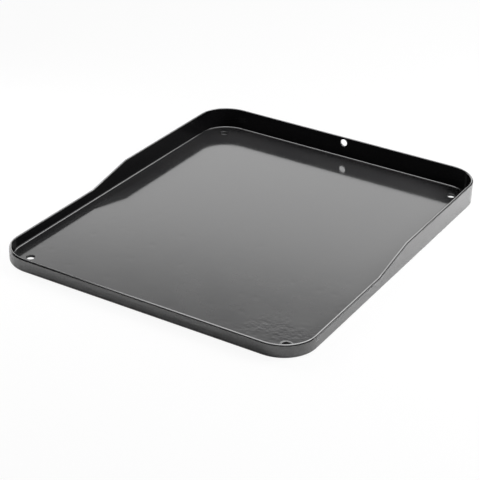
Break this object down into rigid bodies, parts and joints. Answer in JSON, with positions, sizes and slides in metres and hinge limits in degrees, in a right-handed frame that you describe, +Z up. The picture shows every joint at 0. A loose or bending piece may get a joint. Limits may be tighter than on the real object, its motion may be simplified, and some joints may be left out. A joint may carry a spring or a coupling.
{
  "type": "camp griddle plate",
  "caption": "Shallow rounded-rectangle griddle plate in gloss black steel with a high back wall, ramped sides, a low front, corner drain holes and a hanging hole.",
  "frame": {"origin": "centre of the flat underside", "axes": "+Z up out of the cooking face, +Y from the low front toward the high back wall, +X to the right as seen from the front"},
  "size_m": [0.33, 0.404, 0.0254],
  "materials": {
    "floor_enamel": "gloss black enamel, smooth cooking face",
    "rim_enamel": "gloss black enamel over bent strips and ground welds"
  },
  "bodies": {
    "root": {"floor_plate": "floor_enamel", "rear_rim": "rim_enamel", "front_rim": "rim_enamel", "rear_corner_weld": "rim_enamel", "front_corner_weld": "rim_enamel", "left_seam_weld": "rim_enamel", "right_seam_weld": "rim_enamel"}
  },
  "joints": []
}
